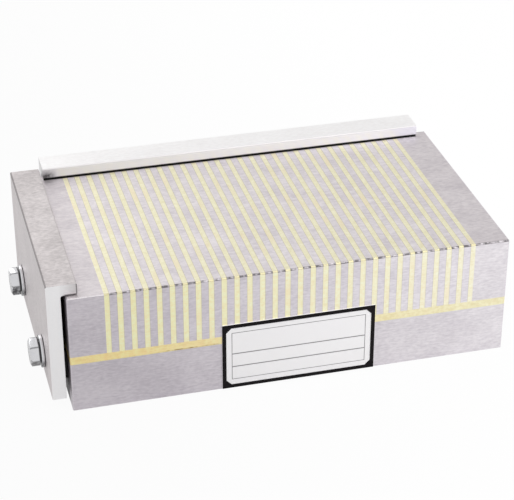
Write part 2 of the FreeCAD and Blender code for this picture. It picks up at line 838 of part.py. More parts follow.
# Checks on every feature and piece, then one file each
doc.recompute()
for thing in doc.Objects:
    if any(word in ("Invalid", "Error") for word in thing.State):
        raise RuntimeError(f"{thing.Name} is {thing.State}")
for body in PIECES:
    if body.Shape.isNull() or not body.Shape.isValid():
        raise RuntimeError(f"{body.Label} has no valid shape")

os.makedirs("parts", exist_ok=True)
for body in PIECES:
    body.Shape.exportStep(f"parts/{body.Label}.step")
    print(f"{body.Label}: {len(body.Shape.Solids)} solids, {body.Shape.Volume:.1f} mm3")
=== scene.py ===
# %% [markdown]
# A permanent magnetic chuck, the kind that holds steel work on a surface grinder. The solids come
# in already made and in place. This lesson gives each one its finish, draws the bolts finer than
# the solids have them, and lights the whole for a catalogue picture.

# %% Load the solids
import math

import bpy
import numpy as np
from mathutils import Matrix, Vector


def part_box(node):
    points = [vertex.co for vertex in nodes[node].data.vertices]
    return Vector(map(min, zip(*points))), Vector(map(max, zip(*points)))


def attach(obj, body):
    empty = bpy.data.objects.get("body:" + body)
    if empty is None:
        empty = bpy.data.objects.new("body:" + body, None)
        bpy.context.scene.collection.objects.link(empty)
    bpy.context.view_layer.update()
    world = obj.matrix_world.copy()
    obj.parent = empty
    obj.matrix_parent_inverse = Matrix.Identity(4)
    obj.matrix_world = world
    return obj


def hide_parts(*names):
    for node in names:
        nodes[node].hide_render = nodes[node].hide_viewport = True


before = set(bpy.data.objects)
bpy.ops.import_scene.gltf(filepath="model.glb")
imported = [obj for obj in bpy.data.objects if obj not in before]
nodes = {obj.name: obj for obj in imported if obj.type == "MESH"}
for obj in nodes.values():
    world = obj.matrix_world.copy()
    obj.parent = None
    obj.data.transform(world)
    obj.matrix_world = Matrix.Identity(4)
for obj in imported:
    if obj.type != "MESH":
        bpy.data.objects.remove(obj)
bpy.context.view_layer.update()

# %% [markdown]
# The camera comes first, because every later choice is judged through it. It stands to the left of
# the block and looks down on it by thirty degrees, from about seventy centimetres away with a long
# lens, so that the block's edges stay almost parallel.

# %% Camera
PICTURE_WIDTH = 514
FOCAL_PIXELS = 1730
CAMERA_PLACE = Vector((-0.1574, -0.5934, 0.3851))
CAMERA_YAW = math.radians(14.71)
CAMERA_PITCH = math.radians(30.02)

lens = bpy.data.cameras.new("camera")
lens.sensor_width = 36
lens.lens = FOCAL_PIXELS / PICTURE_WIDTH * lens.sensor_width
lens.clip_start = 0.01
camera = bpy.data.objects.new("camera", lens)
bpy.context.scene.collection.objects.link(camera)
camera.matrix_world = (
    Matrix.Translation(CAMERA_PLACE)
    @ Matrix.Rotation(-CAMERA_YAW, 4, "Z")
    @ Matrix.Rotation(math.pi / 2 - CAMERA_PITCH, 4, "X")
)
bpy.context.scene.camera = camera
bpy.context.scene.view_settings.view_transform = "Standard"
print("lens:", round(lens.lens, 1), "mm")

# %% [markdown]
# A finish is a material under construction. Two small classes keep its maths readable. A Wire is
# one output of a node, and adding or multiplying wires adds the Math nodes that do so. A Finish
# holds the node tree and has one method that adds any other node: what the node is set to comes
# first, then what goes into its sockets. The finish's base colour is built up in layers, each
# laid over the last one where a mask is 1.

# %% Shader maths as expressions
class Wire:
    """One output socket of a finish, which sums, differences and products can be made from."""

    def __init__(self, finish, socket):
        self.finish = finish
        self.socket = socket

    def __add__(self, other):
        return self.finish.maths("ADD", self, other)

    def __sub__(self, other):
        return self.finish.maths("SUBTRACT", self, other)

    def __rsub__(self, other):
        return self.finish.maths("SUBTRACT", other, self)

    def __mul__(self, other):
        return self.finish.maths("MULTIPLY", self, other)


class Finish:
    """A material with a Principled shader, and the ways to add nodes to it."""

    def __init__(self, name, **constants):
        self.material = bpy.data.materials.new(name)
        self.material.use_nodes = True
        self.tree = self.material.node_tree
        self.shader = self.tree.nodes["Principled BSDF"]
        for word, content in constants.items():
            self.shader.inputs[word.replace("_", " ")].default_value = content
        self.place = self.node("TexCoord", output="Object")

    def node(self, kind, settings=(), inputs=(), output=0):
        """Add a node: its settings first, then its sockets' contents."""
        made = self.tree.nodes.new("ShaderNode" + kind)
        for word, content in dict(settings).items():
            setattr(made, word, content)
        for socket, content in dict(inputs).items():
            self.feed(made.inputs[socket], content)
        return Wire(self, made.outputs[output])

    def feed(self, socket, content):
        """Link a wire to a socket, or set the socket's value."""
        if isinstance(content, Wire):
            self.tree.links.new(content.socket, socket)
        else:
            socket.default_value = content

    def maths(self, operation, *values, clamp=False):
        """A Math node on wires and numbers."""
        settings = {"operation": operation, "use_clamp": clamp}
        return self.node("Math", settings, dict(enumerate(values)))

    def rise(self, value, low, high):
        """0 where the value is under low, 1 where it is over high, and a straight run between.
        With high under low it falls instead."""
        return self.maths("MULTIPLY_ADD", value, 1 / (high - low), low / (low - high), clamp=True)

    def nearing(self, value, edge, begins, full):
        """0 until the value is begins short of an edge, and 1 from where it is full short of it."""
        return self.rise(value, edge - begins, edge - full)

    def band(self, value, middle, half_width, soft):
        """1 within half a width of a middle value, falling to 0 over a soft edge."""
        away = self.maths("ABSOLUTE", value - middle)
        return 1 - self.rise(away, half_width, half_width + soft)

    def most(self, first, *others):
        """The largest of several masks."""
        for other in others:
            first = self.maths("MAXIMUM", first, other)
        return first

    def facing(self, word):
        """How much the surface looks along one axis, from -1 to 1."""
        normal = self.node("TexCoord", output="Normal")
        return self.node("SeparateXYZ", inputs={0: normal}, output=word)

    def looks(self, word, sign=1):
        """1 on faces that look along an axis, or with the sign -1 against it, and 0 elsewhere."""
        return self.rise(self.facing(word) * sign, 0.6, 0.9)

    def axis(self, word):
        """The place along one axis, in metres."""
        return self.node("SeparateXYZ", inputs={0: self.place}, output=word)

    def noise(self, size, stretch=(1, 1, 1), detail=2.0, shift=0.0):
        """Soft noise from 0 to 1 with patches of about the given size in metres, times stretch."""
        scale = tuple(1 / (size * factor) for factor in stretch)
        offset = (shift, shift, shift)
        moved = self.node(
            "Mapping", inputs={"Vector": self.place, "Scale": scale, "Location": offset}
        )
        settings = {"noise_dimensions": "3D"}
        return self.node(
            "TexNoise", settings, {"Vector": moved, "Scale": 1.0, "Detail": detail}
        )

    def mix(self, factor, first, second, way="MIX"):
        """Mix two colours."""
        settings = {"data_type": "RGBA", "blend_type": way}
        return self.node("Mix", settings, {0: factor, 6: first, 7: second}, output=2)

    def start(self, colour):
        """Give the finish its first base colour."""
        self.colour = colour
        self.feed(self.shader.inputs["Base Color"], colour)

    def cover(self, mask, colour, way="MIX"):
        """Lay a colour over the base colour where the mask is 1, or multiply the two there."""
        self.start(self.mix(mask, self.colour, colour, way))

    def bump(self, height, depth, strength=1.0):
        """Turn a height from 0 to 1 into relief that is so many metres deep."""
        made = self.node("Bump", inputs={"Height": height, "Distance": depth, "Strength": strength})
        self.feed(self.shader.inputs["Normal"], made)


def shade(red, green, blue):
    """A colour as a picture's 0 to 255 levels, turned into the linear light that shaders use."""
    levels = np.array([red, green, blue]) / 255
    linear = np.where(levels <= 0.04045, levels / 12.92, ((levels + 0.055) / 1.055) ** 2.4)
    return (*linear.tolist(), 1.0)


def wear(finish, *names):
    """Give the finish to the named solids."""
    for name in names:
        slots = nodes[name].data.materials
        slots.clear()
        slots.append(finish.material)


print("shader helpers ready")

# %% [markdown]
# Ground steel is most of what is seen. A grinding wheel leaves short fine scratches along the
# table's travel, and the eye reads their sum as a soft mottled sheen with no mirror in it. So the
# finish is a metal with a medium roughness. Noise stretched along the scratches moves the colour
# and a very shallow relief, and rounder noise moves the colour and the roughness. Scratches along
# X would show as dots on a face that looks along X, so such a face takes a second noise that is
# stretched along Y, picked by the direction that the face looks in.
#
# The faces that look to the front carry painted light: their colour is multiplied from a darker
# grey at the left end to a lighter one at the right end.

# %% Ground steel
STEEL_LIGHT = shade(238, 233, 238)
STEEL_DARK = shade(212, 206, 213)
FRONT_LEFT_SHADE = (0.86, 0.85, 0.86, 1)
FRONT_RIGHT_LIGHT = (1.07, 1.08, 1.06, 1)
FRONT_SPAN = (-0.05, 0.085)
TONE_SPAN = (0.38, 0.62)
SCRATCH = 0.00022
SCRATCH_LENGTH = 0.0036
SCRATCH_DEPTH = 0.000006


def scratches(metal, shift):
    """Fine marks along X, or along Y on the faces that look along X."""
    stretch = SCRATCH_LENGTH / SCRATCH
    end_face = metal.rise(metal.maths("ABSOLUTE", metal.facing("X")), 0.5, 0.8)
    long_marks = metal.noise(SCRATCH, (stretch, 1, 1), 2.0, shift)
    end_marks = metal.noise(SCRATCH, (1, stretch, 1), 2.0, shift)
    return long_marks * (1 - end_face) + end_marks * end_face


def ground_steel(name, light, dark, roughness, shift=0.0, metallic=0.9):
    """Steel with grinding marks: its colour runs from dark to light with three sizes of noise."""
    steel = Finish(name, Metallic=metallic)
    marks = scratches(steel, shift)
    mottle = steel.noise(0.0011, (1.8, 1.2, 1), 2.0, shift + 7)
    cloud = steel.noise(0.012, (1.5, 1, 1), 1.0, shift + 3)
    tone = marks * 0.4 + mottle * 0.35 + cloud * 0.25
    steel.start(steel.mix(steel.rise(tone, *TONE_SPAN), dark, light))
    # Painted light: the front faces darker at the left end and lighter at the right end.
    tint = steel.mix(steel.rise(steel.axis("X"), *FRONT_SPAN), FRONT_LEFT_SHADE, FRONT_RIGHT_LIGHT)
    steel.cover(steel.looks("Y", -1), tint, "MULTIPLY")
    steel.feed(steel.shader.inputs["Roughness"], mottle * 0.12 + (roughness - 0.06))
    steel.bump(marks, SCRATCH_DEPTH, 0.5)
    return steel


print("ground steel ready")

# %% [markdown]
# Light and shade are painted at the edges, in the gaps and on the work face. Each kind of mark
# below is a layer over the base colour, with a mask that is worked out from the place of a point
# and from the way that the face looks:
#
# - The side stop holds off the block's left end by less than two millimetres. That slit reads as
#   black, so the end behind it is painted a dark grey in uneven patches and made less metallic,
#   as painted shade, apart from the first few millimetres that light gets into.
# - The long upper edges of the top plate have a thin dark uneven line painted on their chamfers,
#   as painted shade. At the left end block the chamfers are painted a grey instead, as painted
#   shade that dims the lamp's highlight in them.
# - The work face is tinted a little warmer than the sides, as painted light.
# - The whole strip of the work face that the back stop's lip covers is painted near black, as
#   painted shadow of the lip. With the stop down only the strip's front edge shows, as a dark
#   line, and with the stop raised all of it.

# %% Painted light and shade on the block
# A dark grey: the joints between the strips, and painted shade and shadow at slits, gaps and edges.
GRIME_AND_SHADE = shade(48, 44, 46)
LIP_SHADOW = shade(24, 21, 22)
CHAMFER_SHADE = shade(188, 184, 187)
SLIT_LIT_DEPTH = 0.005
SLIT_LIT_SOFT = 0.003
EDGE_SHADE_LIMITS = (0.00075, 0.00045)
DIMMED_LIMITS = (0.0006, 0.0004)
LIP_SHADOW_LIMITS = (0.0009, 0.0005)
LIP_SHADOW_SOFT = 0.0003

block_half_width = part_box("base_block")[1][1]
work_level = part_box("end_block_left")[1][2]
rail_low, rail_high = (Vector(corner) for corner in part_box("back_stop"))
rail_middle = (rail_low.x + rail_high.x) / 2
rail_half_length = (rail_high.x - rail_low.x) / 2
lip_edge = rail_low.y


def shade_slit_end(steel):
    """Paint shade on the face that looks along negative X, more in some patches than in others."""
    patches = steel.noise(0.006, detail=3.0, shift=11)
    slit_mouth = SLIT_LIT_DEPTH - block_half_width
    in_slit_shade = steel.rise(steel.axis("Y"), slit_mouth, slit_mouth + SLIT_LIT_SOFT)
    # Painted shade: the slit behind the side stop, dark and less metallic.
    slit_darkness = steel.looks("X", -1) * (patches * 0.3 + 0.75) * in_slit_shade
    steel.cover(slit_darkness, GRIME_AND_SHADE)
    steel.feed(steel.shader.inputs["Metallic"], 0.9 - slit_darkness * 0.8)


def upper_edge(metal, limits):
    """1 on the chamfers of the long upper edges, where the distance from the middle plane and the
    level add up to the most. Both limits say how far short that sum is of a sharp corner's."""
    reach = metal.maths("ABSOLUTE", metal.axis("Y")) + metal.axis("Z")
    return metal.nearing(reach, block_half_width + work_level, *limits)


def shaded_edge_line(steel, start=-1.0):
    """Painted shade: a thin dark uneven line on the long upper edges, right of a place along X."""
    uneven = steel.rise(steel.noise(0.0016, shift=21), 0.3, 0.6)
    beyond = steel.rise(steel.axis("X"), start, start + 0.002)
    edge_shade = upper_edge(steel, EDGE_SHADE_LIMITS) * (uneven * 0.6 + 0.4) * beyond
    steel.cover(edge_shade * 0.9, GRIME_AND_SHADE)


def dimmed_chamfer(steel, end):
    """Painted shade dimming the highlight on the long upper edges, left of a place along X."""
    before = steel.rise(steel.axis("X"), end, end - 0.001)
    steel.cover(upper_edge(steel, DIMMED_LIMITS) * before * 0.85, CHAMFER_SHADE)


def tint_top_as_painted_light(steel, tint):
    """Tint the faces that look up, as painted light."""
    steel.cover(steel.looks("Z"), tint, "MULTIPLY")


def shadow_under_lip(metal):
    """Paint shadow on the work face under the back stop's lip, from just in front of the lip's
    edge.
    """
    half_length = rail_half_length - LIP_SHADOW_SOFT
    beside_rail = metal.band(metal.axis("X"), rail_middle, half_length, LIP_SHADOW_SOFT)
    under_lip = metal.nearing(metal.axis("Y"), lip_edge, *LIP_SHADOW_LIMITS)
    metal.cover(metal.looks("Z") * beside_rail * under_lip * 0.97, LIP_SHADOW)


print("work level and lip's edge, in mm:", round(work_level * 1000, 2), round(lip_edge * 1000, 2))

# %% [markdown]
# The base takes the painted shade of the slit on its left end only. The two end blocks of the top
# plate share one finish, because that painted shade picks its face and the painted lines on the
# edges pick their place along X.

# %% Base and ends of the top plate
# Painted light: the tint of the end blocks' work face.
END_TOP = (0.96, 0.95, 0.92, 1)

base_steel = ground_steel("ground_steel_base", STEEL_LIGHT, STEEL_DARK, 0.47, 3)
shade_slit_end(base_steel)
wear(base_steel, "base_block")

end_steel = ground_steel("ground_steel_ends", STEEL_LIGHT, STEEL_DARK, 0.46, 1)
shade_slit_end(end_steel)
shaded_edge_line(end_steel, 0.0)
dimmed_chamfer(end_steel, 0.0)
tint_top_as_painted_light(end_steel, END_TOP)
shadow_under_lip(end_steel)
wear(end_steel, "end_block_left", "end_block_right")
print("base and ends done")

# %% [markdown]
# The top plate is a stack of thin steel and brass strips that were brazed together and then ground
# as one. The brazing metal has the colour of the brass and leaves a narrow seam on both sides of
# each steel strip, so the brass looks wider than its strips are. Where the seam ends, the steel
# keeps a dark hairline. The steel's long edges are a row of small dark dashes between the bright
# brass ends.
#
# The seam's mask comes from the distance to the middle of the steel strip. One cell of the pattern
# runs from the middle of a brass strip to the middle of the next. The part of its cell that a point
# has passed, less a half, times the pitch, is that distance, without its sign.

# %% Laminations
STRIPS = 30
STRIP = 0.0018
SEAM = 0.00018
SEAM_SOFT = 0.00002
SEAM_TOP = (0.91, 0.85, 0.61, 1)
SEAM_LEFT = (1.03, 0.96, 0.61, 1)
SEAM_RIGHT = (0.96, 0.92, 0.71, 1)
# Painted light: the tint of the laminations' work face.
STRIP_TOP = (1.0, 0.995, 0.96, 1)
HAIRLINE = 0.00005
SIDE_SPAN = (-0.07, 0.07)

first_strip, last_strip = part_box("brass_strips")[0][0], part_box("brass_strips")[1][0]
pitch = (last_strip - first_strip - STRIP) / (STRIPS - 1)
cell_start = first_strip + STRIP / 2
seam_edge = (pitch - STRIP) / 2 - SEAM


def painted_light_by_side(metal, top, left, right):
    """Painted light: one colour on the work face, and a run from left to right on the sides."""
    on_top = metal.rise(metal.facing("Z"), 0.3, 0.6)
    side = metal.mix(metal.rise(metal.axis("X"), *SIDE_SPAN), left, right)
    return metal.mix(on_top, side, top)


lamination_steel = ground_steel(
    "ground_steel_laminations", shade(244, 239, 245), shade(218, 212, 220), 0.46
)
tint_top_as_painted_light(lamination_steel, STRIP_TOP)
turn = (lamination_steel.axis("X") - cell_start) * (1 / pitch)
outward = lamination_steel.maths("ABSOLUTE", lamination_steel.maths("FRACT", turn) - 0.5) * pitch
seam = lamination_steel.rise(outward, seam_edge - SEAM_SOFT, seam_edge + SEAM_SOFT)
# Painted light: the seam's colour is set per face and runs from left to right on the sides.
lamination_steel.cover(seam, painted_light_by_side(lamination_steel, SEAM_TOP, SEAM_LEFT, SEAM_RIGHT))
hairline = lamination_steel.band(outward, seam_edge, HAIRLINE, HAIRLINE)
lamination_steel.cover(hairline * 0.3, GRIME_AND_SHADE)
# Painted shade: the small dark dashes along the steel's chamfers.
shaded_edge_line(lamination_steel)
shadow_under_lip(lamination_steel)
wear(lamination_steel, "steel_laminations")
print("laminations every", round(pitch * 1000, 3), "mm")

# %% [markdown]
# The brass was ground in the same pass, so it carries the same scratches, with a few warmer
# patches where the flame was. It is a pale yellow, because a fine matt surface under white light
# loses most of the brass colour. Its colour is multiplied by painted light, one tint on the work
# face and on the sides a run from the left end to the right, so the thick separator layer under
# the plate is a deeper yellow at its left end and nearly as pale as the strips at its right end.
# The strips' ends on the chamfers are painted a darker brass, as painted shade that dims the
# lamp's highlight there. Left of the name plate the separator's lower edge has a brown stain of
# old flux.

# %% Brass
BRASS_ROUGHNESS = 0.46
BRASS_EDGE_SHADE = shade(178, 170, 134)
BRASS_LIMITS = (0.0006, 0.00042)
FLUX_STAIN = shade(122, 88, 44)
STAIN_LEVEL = 0.0003
STAIN_OFFSET = 0.013
STAIN_HALF_LENGTH = 0.009


def ground_brass(name, light, dark, warm, tints, shift=0.0):
    """Brass with grinding marks, a few warm patches, and painted light tints for top, left and
    right.
    """
    brass = Finish(name, Metallic=0.9)
    marks = scratches(brass, shift)
    mottle = brass.noise(0.0014, shift=shift + 4)
    patch = brass.rise(brass.noise(0.009, (0.5, 1.5, 1.5), 1.0, shift + 9), 0.56, 0.72)
    tone = brass.rise(marks * 0.5 + mottle * 0.5, *TONE_SPAN)
    brass.start(brass.mix(patch * 0.5, brass.mix(tone, dark, light), warm))
    brass.cover(1.0, painted_light_by_side(brass, *tints), "MULTIPLY")
    brass.feed(brass.shader.inputs["Roughness"], mottle * 0.12 + (BRASS_ROUGHNESS - 0.06))
    brass.bump(marks, SCRATCH_DEPTH, 0.5)
    return brass


strip_brass = ground_brass(
    "strip_brass", shade(247, 242, 210), shade(236, 229, 188), shade(242, 226, 192),
    ((1.07, 1.08, 1.15, 1), (1.19, 1.17, 1.08, 1), (1.11, 1.12, 1.26, 1)),
)
# Painted shade: the strips' ends on the chamfers darker, so the lamp's highlight doesn't show
# white.
strip_brass.cover(upper_edge(strip_brass, BRASS_LIMITS) * 0.85, BRASS_EDGE_SHADE)
shadow_under_lip(strip_brass)
wear(strip_brass, "brass_strips")

layer_brass = ground_brass(
    "separator_brass", shade(243, 233, 190), shade(230, 216, 166), shade(234, 213, 168),
    ((1.00, 1.00, 1.00, 1), (1.20, 1.12, 0.94, 1), (1.10, 1.16, 1.32, 1)), 2,
)
layer_low, plate_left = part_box("separator_frame")[0][2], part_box("name_plate")[0][0]
stain = (
    layer_brass.looks("Y", -1)
    * layer_brass.band(layer_brass.axis("Z"), layer_low + STAIN_LEVEL, 0.0001, 0.0002)
    * layer_brass.band(layer_brass.axis("X"), plate_left - STAIN_OFFSET, STAIN_HALF_LENGTH, 0.004)
    * layer_brass.rise(layer_brass.noise(0.0012, (2.5, 1, 1), 2.0, 41), 0.35, 0.6)
)
layer_brass.cover(stain * 0.75, FLUX_STAIN)
wear(layer_brass, "separator_frame")
print("brass:", strip_brass.material.name, layer_brass.material.name)

# %% [markdown]
# The stops are cut from drawn angle bar. The side stop keeps the grey skin of the bar with its
# fine pores, and its broad outer face is painted a little paler, as painted light. Its sawn ends
# were milled bright; toward the lip's tip they are painted less bright, as painted shade, and the
# tip and the lip's underside are drawn on them as a dark outline, as painted shade and shadow. A
# dark line is also painted along the outer upper corner, where the bar is rounded, as painted
# shade in place of a highlight.

# %% Side stop
LIP_GAP = 0.0003
LEG = 0.0055
ROUNDING = 0.0005
OUTER_FACE_LIGHT = shade(245, 239, 240)
PORE = shade(120, 114, 116)
MILLED = shade(255, 254, 255)
TIP_FADE = (0.007, 0.001)
TIP_LINE = (0.0006, 0.0002)
CORNER_LIMITS = (0.00015, -0.00005)

side_low, side_high = (Vector(corner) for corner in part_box("side_stop"))
lip_low = work_level + LIP_GAP
side_steel = ground_steel(
    "ground_steel_side_stop", shade(228, 222, 222), shade(193, 187, 187), 0.5, 5
)
# Painted light: the broad outer face a little paler.
side_steel.cover(side_steel.looks("X", -1) * 0.5, OUTER_FACE_LIGHT)
pores = side_steel.rise(side_steel.noise(0.0008, detail=3.0, shift=17), 0.58, 0.75)
side_steel.cover(pores * 0.22, PORE)

milled_end = side_steel.rise(side_steel.maths("ABSOLUTE", side_steel.facing("Y")), 0.6, 0.9)
# Painted shade: the milled white fades toward the lip's tip.
toward_tip = side_steel.nearing(side_steel.axis("X"), side_high.x, *TIP_FADE)
side_steel.cover(milled_end * (1 - toward_tip * 0.6), MILLED)

# Painted shade and shadow: a dark outline of the tip and of the lip's underside on the milled ends.
lip_start = side_low.x + LEG + 0.001
lip_outline = milled_end * side_steel.most(
    side_steel.nearing(side_steel.axis("X"), side_high.x, *TIP_LINE),
    side_steel.band(side_steel.axis("Z"), lip_low, 0.0002, 0.0003)
    * side_steel.rise(side_steel.axis("X"), lip_start, lip_start + 0.001),
)
side_steel.cover(lip_outline * 0.75, GRIME_AND_SHADE)

# Painted shade: a dark line along the rounded outer upper corner, in place of a highlight.
corner_sum = side_high.z - side_low.x - ROUNDING
outer_sum = side_steel.axis("Z") - side_steel.axis("X")
on_corner = side_steel.nearing(outer_sum, corner_sum, *CORNER_LIMITS)
side_steel.cover(on_corner * 0.62, GRIME_AND_SHADE)
wear(side_steel, "side_stop")
print("side stop done")

# %% [markdown]
# The back stop, which the work pushes against, is polished pale all over. Its lip's front face is
# painted greyer at the left than at the right, as painted light, with painted shadow in the gap
# under it, and a dark patch sits on its left end, where the two stops meet. The rounded front
# edge is painted a shade darker, so that its highlight doesn't draw a white line.

# %% Back stop
LIP_LEFT_SHADE = (0.80, 0.795, 0.81, 1)
LIP_RIGHT_LIGHT = (0.905, 0.90, 0.97, 1)
LIP_SPAN = (-0.08, 0.06)
LIP_ROUNDING_SHADE = shade(222, 219, 220)
END_PATCH_X = (0.006, 0.0025)
END_PATCH_Y = (0.006, 0.001)

back_steel = ground_steel(
    "ground_steel_back_stop", shade(254, 253, 253), shade(245, 243, 243), 0.44, 6, 0.6
)
# Painted light: the lip's front face greyer at the left end than at the right.
lip_front = back_steel.looks("Y", -1)
along_lip = back_steel.rise(back_steel.axis("X"), *LIP_SPAN)
back_steel.cover(lip_front, back_steel.mix(along_lip, LIP_LEFT_SHADE, LIP_RIGHT_LIGHT))

# Painted shade over the rounded front edge's highlight.
facing_up = back_steel.rise(back_steel.facing("Z"), 0.1, 0.4)
facing_front = back_steel.rise(back_steel.facing("Y") * -1, 0.1, 0.4)
back_steel.cover(facing_up * facing_front * 0.8, LIP_ROUNDING_SHADE)

# Painted shadow in the gap under the lip, and a dark patch at the left end.
lip_gap_shadow = lip_front * back_steel.band(back_steel.axis("Z"), lip_low, 0.0003, 0.0003)
end_patches = back_steel.rise(back_steel.noise(0.0016, detail=3.0, shift=31), 0.35, 0.6)
end_dark_patch = (
    (end_patches * 0.4 + 0.6)
    * back_steel.band(back_steel.axis("Z"), lip_low, 0.0015, 0.003)
    * back_steel.nearing(back_steel.axis("X") * -1, -rail_low.x, *END_PATCH_X)
    * back_steel.nearing(back_steel.axis("Y") * -1, -lip_edge, *END_PATCH_Y)
)
back_steel.cover(back_steel.most(lip_gap_shadow * 0.8, end_dark_patch * 0.9), GRIME_AND_SHADE)
wear(back_steel, "back_stop")
print("back stop done")

# %% [markdown]
# The inner pieces are sealed in the block, and only the end of the shaft and the gland ring show.
# They still get a true finish each: turned steel, bearing bronze and dark ceramic. The cap screws
# in the underside and the bars between the block and the stops are blackened.

# %% Inner pieces and small parts
def plain_metal(name, light, dark, roughness, grain=0.0008, metallic=1.0):
    """A metal with a fine even grain in its colour and roughness."""
    metal = Finish(name, Metallic=metallic)
    grainy = metal.noise(grain, detail=3.0)
    metal.start(metal.mix(grainy, dark, light))
    metal.feed(metal.shader.inputs["Roughness"], grainy * 0.1 + (roughness - 0.05))
    metal.bump(grainy, 0.00001, 0.4)
    return metal


turned_steel = plain_metal("turned_steel", shade(190, 188, 190), shade(150, 148, 152), 0.32)
bronze = plain_metal("bearing_bronze", shade(206, 160, 96), shade(176, 130, 74), 0.38)
ceramic = plain_metal("magnet_ceramic", shade(70, 70, 74), shade(44, 44, 48), 0.7, metallic=0.0)
black_oxide = plain_metal(
    "blackened_steel", shade(52, 50, 52), shade(28, 27, 30), 0.42, metallic=0.6
)
wear(
    turned_steel,
    "operating_shaft", "gland_ring", "pole_plates", "follower_arm", "follower_pin",
)
wear(
    bronze,
    "shaft_bush", "runner_strips",
    "pack_rail_front", "pack_rail_back", "pack_plate_left", "pack_plate_right",
)
wear(ceramic, "pack_magnets")
wear(black_oxide, "top_plate_screws", "side_spacer_bar", "back_spacer_bar")
print("inner pieces and small parts done")

# %% [markdown]
# The name plate is a thin enamelled sheet with a raised black border round a white field. Nothing
# is written on it: the field has a fine keyline and the empty cells of a plain data plate. The
# solid has the border and the field at two heights, so the finish tells them apart by how far out
# a point lies, and the lines are drawn from the place along X and Z. The two rules between the
# cells have their levels as fractions of the keyline's half height.

# %% Name plate
BORDER = 0.0016
HALF_RELIEF = 0.00008
KEYLINE = 0.00016
KEYLINE_SOFT = 0.0001
KEYLINE_INSET = 0.0022
UPPER_RULE, LOWER_RULE = 0.1, -0.45
KEYLINE_COLOUR = shade(70, 66, 70)

plate_low, plate_high = (Vector(corner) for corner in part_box("name_plate"))
plate_middle = (plate_low + plate_high) / 2
half_field = (plate_high - plate_low) / 2 - Vector((BORDER, 0, BORDER))
frame_x, frame_z = half_field.x - KEYLINE_INSET, half_field.z - KEYLINE_INSET

enamel = Finish("name_plate_enamel", Roughness=0.42, Metallic=0.0, Specular_IOR_Level=0.1)
across = enamel.maths("ABSOLUTE", enamel.axis("X") - plate_middle.x)
upward = enamel.axis("Z") - plate_middle.z
from_level = enamel.maths("ABSOLUTE", upward)
inside = (
    (1 - enamel.rise(across, frame_x, frame_x + KEYLINE_SOFT))
    * (1 - enamel.rise(from_level, frame_z, frame_z + KEYLINE_SOFT))
)
lines = enamel.most(
    enamel.band(across, frame_x, KEYLINE, KEYLINE_SOFT),
    enamel.band(from_level, frame_z, KEYLINE, KEYLINE_SOFT),
    enamel.band(upward, frame_z * UPPER_RULE, KEYLINE, KEYLINE_SOFT),
    enamel.band(upward, frame_z * LOWER_RULE, KEYLINE, KEYLINE_SOFT),
) * inside

enamel_grain = enamel.noise(0.0005, detail=3.0)
white = enamel.mix(enamel_grain, shade(252, 250, 252), shade(255, 254, 255))
black = enamel.mix(enamel_grain, shade(12, 9, 11), shade(26, 22, 25))
raised = enamel.maths("LESS_THAN", enamel.axis("Y"), plate_low.y + HALF_RELIEF)
enamel.start(white)
enamel.cover(lines * 0.8, KEYLINE_COLOUR)
enamel.cover(raised, black)
enamel.bump(enamel_grain, 0.00001, 0.3)
wear(enamel, "name_plate")
print("name plate from", tuple(plate_low), "to", tuple(plate_high))

# %% [markdown]
# The bolts and washers are drawn anew, finer than the solids. Each is a surface of revolution or
# nearly so: an array of points with one ring for each step of its profile. Neighbouring points of
# neighbouring rings make the faces, so one function can turn any such array into an object.

# %% Surfaces from rings of points
SHARP_ANGLE = math.radians(28)


def ring_faces(count, around, closed_profile):
    """Faces of a surface through rings of points. Point j of a ring joins point j + 1 and the same
    two points of the next ring. An open run of rings gets one flat face over each of its ends."""
    index = np.arange(count * around).reshape(count, around)
    upper = np.roll(index, -1, axis=0) if closed_profile else index[1:]
    lower = index[:len(upper)]
    next_upper, next_lower = np.roll(upper, -1, axis=1), np.roll(lower, -1, axis=1)
    quads = np.stack([lower, upper, next_upper, next_lower], axis=-1)
    ends = [] if closed_profile else [index[0], index[-1][::-1]]
    return [*quads.reshape(-1, 4), *ends]


def solid_piece(name, copies, closed_profile, finish, corner):
    """One object from an array (copies, rings, points, 3), smooth except over the sharp angle.
    The array corner says for each ring and point how near a hexagon's corner it lies, 0 to 1."""
    number, count, around = copies.shape[:3]
    faces = ring_faces(count, around, closed_profile)
    faces = [(face + part * count * around).tolist() for part in range(number) for face in faces]
    mesh = bpy.data.meshes.new(name)
    mesh.from_pydata(copies.reshape(-1, 3).tolist(), [], faces)
    mesh.update()
    mesh.shade_smooth()
    mesh.set_sharp_from_angle(angle=SHARP_ANGLE)
    mark = mesh.attributes.new("corner", "FLOAT", "POINT")
    mark.data.foreach_set("value", np.tile(corner.ravel(), number).astype(np.float32))
    mesh.materials.append(finish.material)
    made = bpy.data.objects.new(name, mesh)
    bpy.context.scene.collection.objects.link(made)
    return made


print("surface helpers ready")

# %% [markdown]
# On a real bolt the corners of the head are cut back by a shallow cone, which leaves a round top
# face and six curved edges, and a thin round face under the head rests on the washer. All of that
# is one surface, where every ring is either the hexagon or a circle. A washer's profile is a
# closed one: a rectangle with rounded corners.

# %% Shapes of the bolts and washers
AROUND = 72
FLATS = 0.010
HEAD_HEIGHT = 0.004
CROWN_RADIUS = 0.47 * FLATS
CROWN_FLAT = 0.97
CROWN_BREAK = 0.00004
EDGE_BREAK = 0.0001
SHANK_RADIUS = 0.003
SHANK_LENGTH = 0.016
SHANK_CHAMFER = 0.0006
SEAT_RADIUS = 0.0046
SEAT_HEIGHT = 0.0003
WASHER = 0.0014
WASHER_HOLE = 0.0033
WASHER_RADIUS = 0.0065
WASHER_ROUNDING = 0.00025

angle = 2 * np.pi * np.arange(AROUND) / AROUND


